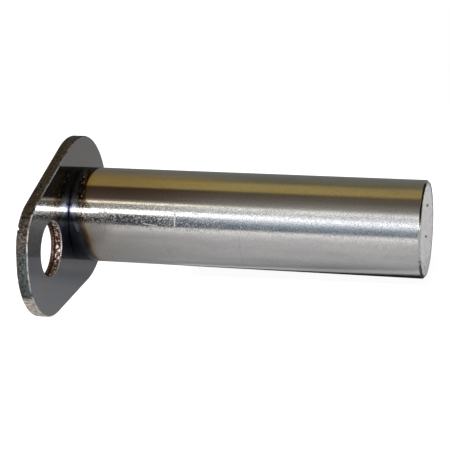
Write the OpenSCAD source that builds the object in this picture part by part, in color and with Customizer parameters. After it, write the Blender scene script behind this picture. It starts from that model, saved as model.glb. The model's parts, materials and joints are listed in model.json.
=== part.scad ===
// Flag pin for a digger's bucket linkage: a round steel bar with a flat retaining plate welded on one end.
// The pin's axis is X. The origin is on that axis, on the plate's inner face, and +X runs to the free end.
// The part is shown as it lies: the plate's straight lower edge is level and the bolt hole is towards -Y.

/* [Pin] */
// Diameter of the shank
pin_d = 38.1; // [30:0.1:60]
// Length of the shank, from the plate's inner face to the free end
pin_len = 139.7; // [80:0.1:300]
// Width of the 45 degree chamfer on the free end
chamfer = 0.8; // [0.4:0.1:3]
// Width of the shoulder that the plate is pushed up against
shoulder = 3.2; // [2:0.1:6]
// How far the turned-down end stands proud of the plate's outer face
spigot_proud = 3.6; // [2:0.1:8]
// Width of the edge break on the turned-down end
spigot_break = 0.6; // [0.2:0.1:1]

/* [Flag plate] */
// Thickness of the plate
plate_t = 4.76; // [3:0.01:12]
// Height of the pin's axis above the plate's straight lower edge
axis_h = 28.2; // [24:0.1:34]
// Width of plate left around the pin, from the shank to the round end
pin_edge = 11.3; // [8:0.1:20]
// Distance from the pin's axis to the centre of the round end about the pin
pin_lobe_off = 2.4; // [0:0.1:6]
// Width of plate left around the bolt hole, from the hole to the round end
bolt_edge = 15.2; // [8:0.1:20]
// Distance from the pin's axis to the centre of the round end about the bolt hole
bolt_lobe_off = 36.5; // [30:0.1:50]
// Radius of the fuller upper corner of that end
corner_r = 18.3; // [12:0.1:24]
// How far that corner stands out from the round end
corner_bulge = 1.1; // [0.2:0.1:3]
// Direction of that corner from the centre of the round end, up from the direction of the pin
corner_angle = 143; // [110:1:170]
// Radial gap between the turned-down end and its hole in the plate
seat_gap = 0.1; // [0.05:0.01:0.3]

/* [Bolt hole] */
// Diameter of the bolt hole
bolt_d = 21.4; // [12:0.1:26]
// Distance from the pin's axis to the hole's centre, along the plate
bolt_off = 38.1; // [34:0.1:48]
// How far the hole's centre lies below the level of the pin's axis
bolt_drop = 1.3; // [0:0.1:4]

/* [Weld] */
// Length of the weld's leg on the plate's outer face
weld_leg = 5.2; // [4:0.1:8]
// Length of the weld's leg up the turned-down end
weld_rise = 3; // [1.5:0.1:5]
// Distance from one ripple of the weld to the next, measured around its toe
ripple_pitch = 2.8; // [2:0.1:5]
// Height of a ripple
ripple_h = 0.35; // [0.1:0.05:0.6]
// How far the middle of a ripple runs ahead of its two ends
ripple_lead = 1.6; // [0:0.1:3]
// Angle that the weld runs on past its own start
overlap_angle = 40; // [20:1:70]
// Extra height of the weld where it runs over its own start
overlap_h = 0.5; // [0.2:0.05:1]

/* [Hidden] */
$fn = 96;

pin_r = pin_d / 2;
spigot_r = pin_r - shoulder;
seat_r = spigot_r + seat_gap;
// Far end of the turned-down end, on the plate's outer side
spigot_end = -plate_t - spigot_proud;

// Round ends of the plate as [y, z, radius]: both sit on the level lower edge
pin_lobe_r = pin_r + pin_edge;
bolt_lobe_r = bolt_d / 2 + bolt_edge;
pin_lobe = [-pin_lobe_off, pin_lobe_r - axis_h, pin_lobe_r];
bolt_lobe = [-bolt_lobe_off, bolt_lobe_r - axis_h, bolt_lobe_r];
corner_off = bolt_lobe_r - corner_r + corner_bulge;
corner_lobe = [
    bolt_lobe[0] + corner_off * cos(corner_angle),
    bolt_lobe[1] + corner_off * sin(corner_angle),
    corner_r
];
bolt_centre = [-bolt_off, -bolt_drop];

// Sections of the weld: a whole number of ripples, each cut into a few slices
RIPPLE_SLICES = 6;
weld_toe_r = spigot_r + weld_leg;
ripples = round(2 * PI * weld_toe_r / ripple_pitch);
slices = ripples * RIPPLE_SLICES;
// Flats of this many-sided ring just touch the turned-down end
weld_root_r = spigot_r / cos(180 / slices);
// Points across the weld's face, from its toe to its top edge
FACE_POINTS = 6;

// Point on a circle [y, z, radius] at an angle
function on_circle(c, angle) = [c[0] + c[2] * cos(angle), c[1] + c[2] * sin(angle)];

// Angle of the outer tangent's touching point that two circles share, on the side given by +1 or -1
function tangent_angle(a, b, side) =
    let (across = [b[0] - a[0], b[1] - a[1]])
    atan2(across[1], across[0]) + side * acos((a[2] - b[2]) / norm(across));

// The straight sides between two round ends
module tangent_sides(a, b) {
    upper = tangent_angle(a, b, -1);
    lower = tangent_angle(a, b, 1);
    polygon([on_circle(a, upper), on_circle(b, upper), on_circle(b, lower), on_circle(a, lower)]);
}

module round_end(c) {
    translate([c[0], c[1]]) circle(r = c[2]);
}

// Outline of the flag plate, in the plane across the pin
module plate_outline() {
    lobes = [pin_lobe, corner_lobe, bolt_lobe];
    for (i = [0:2]) {
        round_end(lobes[i]);
        tangent_sides(lobes[i], lobes[(i + 1) % 3]);
    }
}

// Turns a shape drawn with its height along Z so that its height runs along X
module along_pin() {
    rotate([90, 0, 90]) children();
}

module pin_shaft() {
    color("lightsteelblue")
    along_pin()
    rotate_extrude()
    polygon([
        [0, spigot_end],
        [spigot_r - spigot_break, spigot_end],
        [spigot_r, spigot_end + spigot_break],
        [spigot_r, 0],
        [pin_r, 0],
        [pin_r, pin_len - chamfer],
        [pin_r - chamfer, pin_len],
        [0, pin_len]
    ]);
}

module flag_plate() {
    color("dimgray")
    along_pin()
    translate([0, 0, -plate_t])
    linear_extrude(plate_t)
    difference() {
        plate_outline();
        circle(r = seat_r);
        translate(bolt_centre) circle(d = bolt_d);
    }
}

// Share of a ripple's height at a slice: a slow climb, then a quick drop where the next ripple starts
function ripple(i) =
    let (along = (i % RIPPLE_SLICES) / RIPPLE_SLICES)
    sin(180 * pow(along, 1.6));

// Share of the extra height where the weld runs over its own start
function overlap(angle) =
    let (away = abs(angle - 180) / (overlap_angle / 2))
    away < 1 ? pow(cos(90 * away), 2) : 0;

// Point at a radius, an angle about the pin and a distance out from the plate's outer face
function weld_point(radius, angle, out) = [-plate_t - out, radius * cos(angle), radius * sin(angle)];

// Points of one slice of the weld: its root corner, then its face from the toe to the top edge
function weld_slice(i) =
    let (angle = 360 * i / slices, swell = ripple_h * ripple(i) + overlap_h * overlap(angle))
    concat(
        [weld_point(weld_root_r, angle, 0)],
        [for (k = [0:FACE_POINTS - 1])
            let (share = k / (FACE_POINTS - 1))
            let (lead = ripple_lead / weld_toe_r * 180 / PI * sin(180 * share))
            let (bulge = swell * sin(180 * share))
            weld_point(weld_root_r + weld_leg * (1 - share) + bulge, angle + lead, weld_rise * share + bulge)]
    );

// Two triangles between corner k of slice i and the next corner and slice
function weld_faces(i, k, count) =
    let (a = i * count, b = ((i + 1) % slices) * count, next = (k + 1) % count)
    [[a + k, a + next, b + next], [a + k, b + next, b + k]];

module weld_bead() {
    count = FACE_POINTS + 1;
    points = [for (i = [0:slices - 1]) each weld_slice(i)];
    faces = [for (i = [0:slices - 1]) for (k = [0:count - 1]) each weld_faces(i, k, count)];
    color("slategray")
    polyhedron(points, faces);
}

pin_shaft();
flag_plate();
weld_bead();
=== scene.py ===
# %% [markdown]
# A welded flag pin. A round ground bar carries a flat flame-cut plate, welded on from behind. The solids
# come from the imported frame, in metres, with the pin along X, the free end at +X and the bolt hole towards
# -Y. This script gives each of the three pieces a finer surface and a finish of its own, and never moves or
# resizes them.

# %% Load the frame
import json
import math

import bmesh
import bpy
import numpy as np
from mathutils import Matrix, Vector, noise


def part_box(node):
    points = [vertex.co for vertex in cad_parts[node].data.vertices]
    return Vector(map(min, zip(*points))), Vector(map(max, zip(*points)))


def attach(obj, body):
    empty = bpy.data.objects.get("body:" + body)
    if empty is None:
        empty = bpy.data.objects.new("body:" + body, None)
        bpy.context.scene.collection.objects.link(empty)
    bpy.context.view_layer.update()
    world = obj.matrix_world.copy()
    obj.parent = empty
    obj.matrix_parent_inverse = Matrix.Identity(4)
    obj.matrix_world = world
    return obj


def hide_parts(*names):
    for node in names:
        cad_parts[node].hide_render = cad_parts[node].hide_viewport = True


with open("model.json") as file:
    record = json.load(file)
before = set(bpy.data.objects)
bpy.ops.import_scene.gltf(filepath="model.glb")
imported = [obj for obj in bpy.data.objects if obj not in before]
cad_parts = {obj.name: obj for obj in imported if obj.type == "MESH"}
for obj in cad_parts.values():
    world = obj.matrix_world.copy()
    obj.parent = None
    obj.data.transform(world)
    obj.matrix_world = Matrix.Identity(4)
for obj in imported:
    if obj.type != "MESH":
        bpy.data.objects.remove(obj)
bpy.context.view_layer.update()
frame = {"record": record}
MM = 0.001

# %% [markdown]
# Most sizes are read from the frame, so a new pack brings the new sizes along. The mounts give the shank
# and the bolt hole, and the boxes of the pieces give the rest. A box cannot tell a radius from a distance,
# so the round end about the bolt hole, its fuller upper corner and the turned-down end have values of their
# own.

# %% Sizes read from the frame
mounts = {m["name"]: m for m in frame["record"]["mounts"]}
pin_r = mounts["pin_shank"]["dims"]["r_mm"] * MM
shank_len = mounts["pin_shank"]["dims"]["length_mm"] * MM
bolt_r = mounts["bolt_hole"]["dims"]["r_mm"] * MM
bolt_y, bolt_z = mounts["bolt_hole"]["pos_m"][1:]

pin_low, pin_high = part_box("pin_shaft")
plate_low, plate_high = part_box("flag_plate")
weld_low, weld_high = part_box("weld_bead")
pin_len = pin_high.x
chamfer = pin_len - shank_len
plate_t = plate_high.x - plate_low.x
spigot_end = pin_low.x

BOLT_LOBE_R = 25.9 * MM
CORNER_R = 18.3 * MM
CORNER_BULGE = 1.1 * MM
CORNER_ANGLE = math.radians(143)
SHOULDER = 3.2 * MM
SEAT_GAP = 0.1 * MM
pin_lobe_r = (plate_high.z - plate_low.z) / 2
pin_lobe = (plate_high.y - pin_lobe_r, plate_low.z + pin_lobe_r, pin_lobe_r)
bolt_lobe = (plate_low.y + BOLT_LOBE_R, plate_low.z + BOLT_LOBE_R, BOLT_LOBE_R)
corner_off = BOLT_LOBE_R - CORNER_R + CORNER_BULGE
corner_lobe = (
    bolt_lobe[0] + corner_off * math.cos(CORNER_ANGLE),
    bolt_lobe[1] + corner_off * math.sin(CORNER_ANGLE),
    CORNER_R,
)
spigot_r = pin_r - SHOULDER
seat_r = spigot_r + SEAT_GAP
print("pin", round(pin_r / MM, 2), "x", round(pin_len / MM, 2), "plate", round(plate_t / MM, 2))

# %% [markdown]
# The camera stands to the right of the plate and looks down at the pin. It could be placed by eye, but a
# fit to the edges of the shank, the two rims of the hole and the plate's outline gives its place more
# closely, so the numbers are kept as a place, a direction, a roll and a lens.

# %% Camera
CAMERA_AT = Vector((215.2, -550.3, 202.9)) * MM
CAMERA_AZIMUTH = math.radians(15.84)
CAMERA_ELEVATION = math.radians(19.72)
CAMERA_ROLL = math.radians(-2.74)
CAMERA_LENS, SENSOR_WIDTH, CLIP_START = 121.9, 36, 0.01

camera = bpy.data.objects.new("camera", bpy.data.cameras.new("camera"))
bpy.context.scene.collection.objects.link(camera)
camera.data.lens = CAMERA_LENS
camera.data.sensor_width = SENSOR_WIDTH
camera.data.clip_start = CLIP_START
look = Vector((
    -math.sin(CAMERA_AZIMUTH) * math.cos(CAMERA_ELEVATION),
    math.cos(CAMERA_AZIMUTH) * math.cos(CAMERA_ELEVATION),
    -math.sin(CAMERA_ELEVATION),
))
turn = look.to_track_quat("-Z", "Y").to_matrix().to_4x4()
camera.matrix_world = Matrix.Translation(CAMERA_AT) @ turn @ Matrix.Rotation(CAMERA_ROLL, 4, "Z")
bpy.context.scene.camera = camera
bpy.context.scene.view_settings.view_transform = "Standard"
print("camera looks along", [round(c, 3) for c in look])

# %% [markdown]
# Shader nodes are easier to read as sums. The class below wraps one output socket. Its operators add Math
# nodes, and its one other way to add a node takes the node's type, its settings and what goes into its
# sockets.


# %% A socket that takes part in sums
class Wire:
    """One output socket of a node tree."""

    def __init__(self, tree, socket=None):
        self.tree = tree
        self.socket = socket

    def node(self, kind, settings=None, inputs=None, out=0):
        made = self.tree.nodes.new(kind)
        for name, value in (settings or {}).items():
            if name == "stops":
                set_stops(made.color_ramp, value)
            else:
                setattr(made, name, value)
        for name, value in (inputs or {}).items():
            if isinstance(value, Wire):
                self.tree.links.new(value.socket, made.inputs[name])
            else:
                made.inputs[name].default_value = value
        return Wire(self.tree, made.outputs[out] if made.outputs else made)

    def math(self, operation, *values):
        return self.node("ShaderNodeMath", {"operation": operation}, dict(enumerate(values)))

    def __add__(self, other):
        return self.math("ADD", self, other)

    def __radd__(self, other):
        return self.math("ADD", other, self)

    def __sub__(self, other):
        return self.math("SUBTRACT", self, other)

    def __rsub__(self, other):
        return self.math("SUBTRACT", other, self)

    def __mul__(self, other):
        return self.math("MULTIPLY", self, other)

    def __rmul__(self, other):
        return self.math("MULTIPLY", other, self)

    def __truediv__(self, other):
        return self.math("DIVIDE", self, other)

    def __rtruediv__(self, other):
        return self.math("DIVIDE", other, self)

    def __pow__(self, other):
        return self.math("POWER", self, other)


def set_stops(ramp, stops):
    """Fills a colour ramp with (place, colour) stops."""
    while len(ramp.elements) < len(stops):
        ramp.elements.new(1.0)
    for element, (place, colour) in zip(ramp.elements, stops):
        element.position = place
        element.color = (*colour, 1.0)


print("wires ready")

# %% [markdown]
# Most finishes ask where something is: near the weld, low on the front, inside a ring. Painting such places
# by hand would not follow a new size, so each is a mask between 0 and 1, made from distances by a few
# helpers.


# %% Masks
def smooth_step(wire, low, high):
    """0 below low, 1 above high and smooth between. Swapped ends make it fall."""
    settings = {"interpolation_type": "SMOOTHSTEP"}
    return wire.node("ShaderNodeMapRange", settings, {"Value": wire, "From Min": low, "From Max": high})


def band(wire, low_out, low_in, high_in, high_out):
    """1 between the two inner values, falling smoothly to 0 at the outer ones."""
    return smooth_step(wire, low_out, low_in) * smooth_step(wire, high_out, high_in)


def away_from(wire, middle):
    return wire.math("ABSOLUTE", wire - middle)


def larger(first, second):
    return first.math("MAXIMUM", first, second)


def length(first, second):
    return (first * first + second * second) ** 0.5


def mix_colour(share, first, second):
    """One colour over another. A plain colour is a tuple of three numbers."""
    def ready(colour):
        return colour if isinstance(colour, Wire) else (*colour, 1.0)
    # A Mix node's sockets 0, 6 and 7 are its factor and two colours, and its output 2 is the mixed colour
    inputs = {0: share, 6: ready(first), 7: ready(second)}
    return share.node("ShaderNodeMix", {"data_type": "RGBA"}, inputs, out=2)


def axes(place):
    """The three numbers of a place."""
    apart = place.node("ShaderNodeSeparateXYZ", inputs={0: place})
    return [Wire(place.tree, socket) for socket in apart.socket.node.outputs]


def ray_kinds(start):
    """Whether a ray comes straight from the camera, from a reflection or through something clear."""
    kinds = start.node("ShaderNodeLightPath").socket.node.outputs
    names = ("Is Camera Ray", "Is Glossy Ray", "Is Transmission Ray")
    return [Wire(start.tree, kinds[name]) for name in names]


# Number of the Texture Coordinate node's output that gives a place in the part's own frame
OBJECT_PLACE = 3
print("masks ready")

# %% [markdown]
# The stage is a pale sheet that the pin lies on. The plate's straight edge and the rim of the free end
# touch it, so the sheet is tilted a little in the part's own frame. The metal mirrors the sheet, so its
# tone matters: it is white far in front, dims towards the pin as a painted soft shadow, and turns grey
# behind the pin, where the plate's smooth face looks. Under the pin it has a painted shade, a painted
# shadow line where the two nearly meet, and a stripe of painted light in front of that which only
# reflections see. Together they draw the shank's lower edge. Camera rays get extra light from the
# sheet, which lifts it to white and leaves a soft shadow.

# %% Floor
slope = math.atan2(-pin_r - plate_low.z, shank_len)
FLOOR_FRONT, FLOOR_BACK, FLOOR_HALF_WIDTH = 1.0, 0.25, 0.7
# Distance across the sheet in metres, negative in front of the pin, and the tone of the sheet there, which
# dims near the pin as painted shade
FLOOR_TONES = [
    (-0.22, (0.88, 0.885, 0.90)), (-0.14, (0.70, 0.705, 0.72)), (-0.09, (0.53, 0.535, 0.55)),
    (-0.06, (0.455, 0.46, 0.47)), (-0.04, (0.47, 0.47, 0.48)), (-0.015, (0.42, 0.42, 0.43)),
    (0.012, (0.47, 0.475, 0.51)), (0.045, (0.255, 0.248, 0.24)),
]
FLOOR_NEAR, FLOOR_FAR = -0.25, 0.1
FLOOR_LIFT, GREY_LIFT = 0.6, 0.35
FLOOR_GLOSS_LIFT, GLINT_LIFT = 0.08, 0.3
# Shade under the pin, in metres along and across the sheet. It fades out past the free end.
PIN_END_FADE = 0.012
UNDER_X, UNDER_Y = (0.03, 0.12), (-0.024, -0.006, 0.02, 0.05)
UNDER_SHADE, UNDER_TONE = 0.78, (0.1, 0.1, 0.1)
# Painted shadow line and stripe of painted light along the pin's lower edge, which slant a little across the
# sheet
LINE_X, LINE_MIDDLE, LINE_SLANT = (0.032, 0.045), 0.07, 0.12
GLINT_ACROSS = (-0.0085, -0.006, -0.004, -0.002)
SHADOW_LINE_FRONT, SHADOW_LINE_BACK, SHADOW_LINE_TONE = (-0.004, -0.001), (0.035, 0.02), (0.03, 0.03, 0.03)


def build_floor():
    corners = [(-FLOOR_HALF_WIDTH, -FLOOR_FRONT), (FLOOR_HALF_WIDTH, -FLOOR_FRONT),
               (FLOOR_HALF_WIDTH, FLOOR_BACK), (-FLOOR_HALF_WIDTH, FLOOR_BACK)]
    mesh = bpy.data.meshes.new("floor")
    mesh.from_pydata([(x, y, plate_low.z + x * math.tan(slope)) for x, y in corners], [], [(0, 1, 2, 3)])
    sheet = bpy.data.objects.new("floor", mesh)
    bpy.context.scene.collection.objects.link(sheet)
    return sheet


def floor_material():
    material = bpy.data.materials.new("pale_sheet")
    material.use_nodes = True
    tree = material.node_tree
    tree.nodes.clear()
    start = Wire(tree)
    x, y, _ = axes(start.node("ShaderNodeTexCoord", out=OBJECT_PLACE))
    span = FLOOR_FAR - FLOOR_NEAR
    stops = [((place - FLOOR_NEAR) / span, tone) for place, tone in FLOOR_TONES]
    paper = start.node("ShaderNodeValToRGB", {"stops": stops}, {"Fac": (y - FLOOR_NEAR) / span})
    beneath = smooth_step(x, pin_len + PIN_END_FADE, pin_len)
    under = beneath * smooth_step(x, *UNDER_X) * band(y, *UNDER_Y) * UNDER_SHADE
    paper = mix_colour(under, paper, UNDER_TONE)
    across = y + (x - LINE_MIDDLE) * LINE_SLANT
    beside = beneath * smooth_step(x, *LINE_X)
    # A stripe of painted light that glows only in reflections
    glint = beside * band(across, *GLINT_ACROSS)
    # A painted shadow line where the pin nearly meets the sheet
    shadow_line = beside * smooth_step(across, *SHADOW_LINE_FRONT) * smooth_step(y, *SHADOW_LINE_BACK)
    paper = mix_colour(shadow_line, paper, SHADOW_LINE_TONE)
    matte = start.node("ShaderNodeBsdfDiffuse", inputs={"Color": paper})
    camera_ray, glossy_ray, clear_ray = ray_kinds(start)
    grey = smooth_step(y, FLOOR_TONES[1][0], 0.0)
    seen = camera_ray * (FLOOR_LIFT + grey * GREY_LIFT)
    mirrored = (1 - under) * (1 - shadow_line) * FLOOR_GLOSS_LIFT + glint * GLINT_LIFT
    glow = start.node("ShaderNodeEmission", inputs={"Strength": seen + (glossy_ray + clear_ray) * mirrored})
    both = start.node("ShaderNodeAddShader", inputs={0: matte, 1: glow})
    start.node("ShaderNodeOutputMaterial", inputs={"Surface": both})
    return material


floor = build_floor()
floor.data.materials.append(floor_material())
print("floor tilted by", round(math.degrees(slope), 2), "degrees")

# %% [markdown]
# Bright metal shows what is around it, so the room makes most of the pin's look. A picture of a real room
# could be wrapped around the part, but a few tones laid round the pin's axis are enough, because a straight
# bar draws every tone out into a band: a dark horizon, a tall window with a bright edge, a pale cornice, a
# dim wall above it and a warm lamp-lit ceiling behind. The window is crossed by dark bars where the rays
# lean over along the pin, so there are two rows of tones.

# %% Tones of the room
# Degrees round the pin: 0 is the horizon in front, 90 overhead, 180 the horizon behind. Then the tones
# seen by rays that lean along the pin and by rays that run straight across it.
ROOM_TONES = [
    (-180, (0.20, 0.20, 0.20), (0.20, 0.20, 0.20)),
    (-20, (0.20, 0.20, 0.20), (0.30, 0.30, 0.32)),
    (2, (0.13, 0.13, 0.15), (0.27, 0.31, 0.36)),
    (9, (0.13, 0.13, 0.15), (0.34, 0.41, 0.50)),
    (15, (0.08, 0.08, 0.09), (0.70, 0.80, 0.90)),
    (22, (0.20, 0.20, 0.22), (1.45, 1.50, 1.58)),
    (25, (3.00, 3.00, 3.05), (1.85, 1.88, 1.95)),
    (28, (7.80, 7.80, 7.90), (1.90, 1.93, 2.00)),
    (31, (7.80, 7.80, 7.90), (1.40, 1.44, 1.50)),
    (34, (1.20, 1.20, 1.20), (1.10, 1.15, 1.22)),
    (38, (0.55, 0.55, 0.52), (0.86, 0.89, 0.95)),
    (47, (0.60, 0.57, 0.50), (1.60, 1.54, 1.46)),
    (50, (3.00, 2.80, 2.30), (0.95, 0.90, 0.85)),
    (54, (0.50, 0.42, 0.32), (0.46, 0.43, 0.40)),
    (60, (0.16, 0.12, 0.10), (0.32, 0.30, 0.27)),
    (75, (0.11, 0.07, 0.05), (0.18, 0.15, 0.12)),
    (90, (0.08, 0.05, 0.03), (0.14, 0.11, 0.07)),
    (97, (0.46, 0.34, 0.12), (0.46, 0.35, 0.13)),
    (116, (0.45, 0.32, 0.10), (0.45, 0.34, 0.13)),
    (127, (0.40, 0.29, 0.13), (0.20, 0.18, 0.11)),
    (150, (0.24, 0.22, 0.17), (0.20, 0.195, 0.16)),
    (180, (0.20, 0.20, 0.20), (0.20, 0.20, 0.20)),
]
ROOM_STRENGTH = 8.0
LEANING, CROSSING = 1, 2
LEAN = (0.31, 0.24)


def room_tones(start, around, column):
    stops = []
    for tone in ROOM_TONES:
        stops.append((tone[0] / 360 + 0.5, tuple(c / ROOM_STRENGTH for c in tone[column])))
    return start.node("ShaderNodeValToRGB", {"stops": stops}, {"Fac": around})


print("room with", len(ROOM_TONES), "tones")

# %% [markdown]
# A few places in the room break out of the bands. To the right hangs one strong strip lamp under a dim
# wall: only rays that the plate has turned round go there, so it makes the bright line in the plate's
# mirror image. The corner beyond the free end is dark just where the chamfer looks, which draws the chamfer
# as a black line, and a pale wall on the left lights the weld. Real lamps and screens could do this, but
# masks on the direction of a ray hold each one to a small part of the room. Camera rays see plain white.

# %% Room
# Ranges of a ray's direction, which has a length of 1, and of its degrees round the pin
END_SIDE_X, END_SIDE_Y, END_SIDE_Z = (0.45, 0.58), (-0.09, -0.02), (-0.04, 0.04, 0.48, 0.58)
END_CORNER_X, END_CORNER_Y, END_CORNER_Z = (0.3, 0.38), (0.6, 0.75), (0.02, 0.1)
ABOVE_X, ABOVE_ROUND = (0.1, 0.25, 0.52, 0.62), (53.0, 60.0, 135.0, 155.0)
LEFT_X = (-0.5, -0.7)
STRIP_X, STRIP_AT, STRIP_EDGE = (0.1, 0.2, 0.46, 0.52), 27.0, (4.5, 3.5)
GLOW_ROUND, STRIP_GLOW = (6.0, 20.0, 26.0, 32.0), 0.05
STRIP_STRENGTH, STRIP_COLOUR = 34.0, (0.96, 0.98, 1.0, 1.0)
DARK_SIDE = (0.0008, 0.0008, 0.0008)
DIM_TOP = (0.010, 0.009, 0.008)
LEFT_WALL = (0.11, 0.11, 0.115)
WHITE = (1.0, 1.0, 1.0, 1.0)


def dark_end(x, y, z):
    side = smooth_step(x, *END_SIDE_X) * smooth_step(y, *END_SIDE_Y) * band(z, *END_SIDE_Z)
    corner = smooth_step(x, *END_CORNER_X) * smooth_step(y, *END_CORNER_Y) * smooth_step(z, *END_CORNER_Z)
    return larger(side, corner)


def build_room():
    world = bpy.data.worlds.new("room")
    bpy.context.scene.world = world
    world.use_nodes = True
    tree = world.node_tree
    tree.nodes.clear()
    start = Wire(tree)
    x, y, z = axes(start.node("ShaderNodeTexCoord"))
    around = start.math("ARCTAN2", z, 0 - y) / (2 * math.pi) + 0.5
    degrees = (around - 0.5) * 360
    crossing = smooth_step(away_from(x, 0.0), *LEAN)
    tones = mix_colour(crossing, room_tones(start, around, LEANING), room_tones(start, around, CROSSING))
    above = band(x, *ABOVE_X) * band(degrees, *ABOVE_ROUND)
    tones = mix_colour(dark_end(x, y, z), mix_colour(above, tones, DIM_TOP), DARK_SIDE)
    tones = mix_colour(smooth_step(x, *LEFT_X), tones, LEFT_WALL)
    strip = smooth_step(away_from(degrees, STRIP_AT), *STRIP_EDGE)
    strip = (strip + band(degrees, *GLOW_ROUND) * STRIP_GLOW) * band(x, *STRIP_X)
    room = start.node("ShaderNodeBackground", inputs={"Color": tones, "Strength": ROOM_STRENGTH})
    lamp = {"Color": STRIP_COLOUR, "Strength": strip * STRIP_STRENGTH}
    window = start.node("ShaderNodeBackground", inputs=lamp)
    lit = start.node("ShaderNodeAddShader", inputs={0: room, 1: window})
    white = start.node("ShaderNodeBackground", inputs={"Color": WHITE, "Strength": 1.0})
    seen = start.node("ShaderNodeMixShader", inputs={0: ray_kinds(start)[0], 1: lit, 2: white})
    start.node("ShaderNodeOutputWorld", inputs={"Surface": seen})


build_room()
print("strip lamp at", STRIP_AT, "degrees")

# %% [markdown]
# Three soft lamps do the rest. One hangs over the front of the sheet and one over its back. They light the
# sheet alone, so the metal mirrors a sheet that is bright far off and dim close by. The third stands low on
# the right, behind the free end, for the matt end face and the rough edges.

# %% Lamps
SHEET_LAMP_AT, SHEET_LAMP_SIZE, SHEET_LAMP_POWER = Vector((0.15, -0.25, 0.30)), (0.35, 0.3), 1.0
BACK_LAMP_AT, BACK_LAMP_SIZE, BACK_LAMP_POWER = Vector((-0.02, 0.16, 0.20)), (0.25, 0.15), 0.35
SIDE_LAMP_AT, SIDE_LAMP_SIZE, SIDE_LAMP_POWER = Vector((0.665, 0.46, 0.055)), (0.25, 0.08), 2.4


def build_lamp(name, place, aim, size, power, mirrored):
    lamp = bpy.data.objects.new(name, bpy.data.lights.new(name, "AREA"))
    lamp.data.shape = "RECTANGLE"
    lamp.data.size, lamp.data.size_y = size
    lamp.data.energy = power
    lamp.location = place
    lamp.rotation_euler = (aim - place).to_track_quat("-Z", "Y").to_euler()
    lamp.visible_camera = False
    lamp.visible_glossy = mirrored
    bpy.context.scene.collection.objects.link(lamp)


DOWN = Vector((0, 0, -1))
build_lamp("sheet_lamp", SHEET_LAMP_AT, SHEET_LAMP_AT + DOWN, SHEET_LAMP_SIZE, SHEET_LAMP_POWER, False)
build_lamp("back_lamp", BACK_LAMP_AT, BACK_LAMP_AT + DOWN, BACK_LAMP_SIZE, BACK_LAMP_POWER, False)
build_lamp("side_lamp", SIDE_LAMP_AT, Vector((pin_len, 0, 0)), SIDE_LAMP_SIZE, SIDE_LAMP_POWER, True)
print("lamps of", SHEET_LAMP_POWER, BACK_LAMP_POWER, "and", SIDE_LAMP_POWER, "W")

# %% [markdown]
# All three pieces are grids of points worked out by formula, so one helper turns a grid into a mesh. A grid
# goes right round and closes on itself. Named weights are kept on the points, where a finish can read them.
# A second helper merges the points that a grid doubles at its poles and seams, and shades the surface as
# round.

# %% Meshes from grids
MERGE_DISTANCE = 1e-7


def grid_faces(rows, columns, first=0):
    """Quads between the rows of a grid whose columns close on themselves."""
    faces = []
    for i in range(rows - 1):
        for j in range(columns):
            k = (j + 1) % columns
            faces.append((first + i * columns + j, first + i * columns + k,
                          first + (i + 1) * columns + k, first + (i + 1) * columns + j))
    return faces


def make_piece(name, points, faces, replaced, weights=None):
    """A mesh that stands for one node of the frame."""
    mesh = bpy.data.meshes.new(name)
    mesh.from_pydata([tuple(p) for p in points], [], faces)
    bm = bmesh.new()
    bm.from_mesh(mesh)
    bmesh.ops.recalc_face_normals(bm, faces=bm.faces)
    bm.to_mesh(mesh)
    bm.free()
    for key, values in (weights or {}).items():
        mesh.attributes.new(key, "FLOAT", "POINT").data.foreach_set("value", np.asarray(values, np.float32))
    piece = bpy.data.objects.new(name, mesh)
    bpy.context.scene.collection.objects.link(piece)
    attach(piece, "root")
    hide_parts(replaced)
    return piece


def round_off(piece, crease):
    """Merges doubled points and shades the piece smooth, apart from edges sharper than the crease."""
    bm = bmesh.new()
    bm.from_mesh(piece.data)
    bmesh.ops.remove_doubles(bm, verts=bm.verts, dist=MERGE_DISTANCE)
    bmesh.ops.recalc_face_normals(bm, faces=bm.faces)
    bm.to_mesh(piece.data)
    bm.free()
    piece.data.polygons.foreach_set("use_smooth", [True] * len(piece.data.polygons))
    piece.data.set_sharp_from_angle(angle=crease)


print("grid helpers ready")

# %% [markdown]
# The pin is turned and ground, so its mesh is a profile spun about the axis. A cylinder with a bevel would
# be quicker, but a profile gives each corner its own small round, because no real edge is sharp, and puts
# enough rings on the free end to hold a few shallow dings.

# %% Pin
PIN_STEPS = 256
PIN_CREASE = math.radians(40)
EDGE_ROUND = 0.02 * MM
SEAM_BREAK = 0.3 * MM
SPIGOT_BREAK = 0.6 * MM
# How far along each round its middle point lies, as a share of the round
SEAM_MIDDLE, CHAMFER_MIDDLE, RIM_MIDDLE = 0.3, 0.7, 0.4
RING_STEP = 1.2 * MM
SPIGOT_RINGS, END_RINGS = 24, 64
HOLD = 0.15
# Dings on the free end as (y, z, half width, half height, depth) in millimetres, all with one slope
DING_SLOPE = -0.34
END_DINGS = [(1.0, 9.4, 3.2, 0.55, 0.14), (-3.2, -1.7, 3.0, 0.5, 0.13), (-6.5, -13.2, 1.2, 0.6, 0.07),
             (2.6, 15.0, 1.0, 0.5, 0.06), (7.5, 1.2, 0.7, 0.5, 0.04), (9.0, -8.0, 0.9, 0.6, 0.05)]
# Depth at which a ding is painted fully dark, as shade in its hollow
DING_FULL = 0.09


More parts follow.
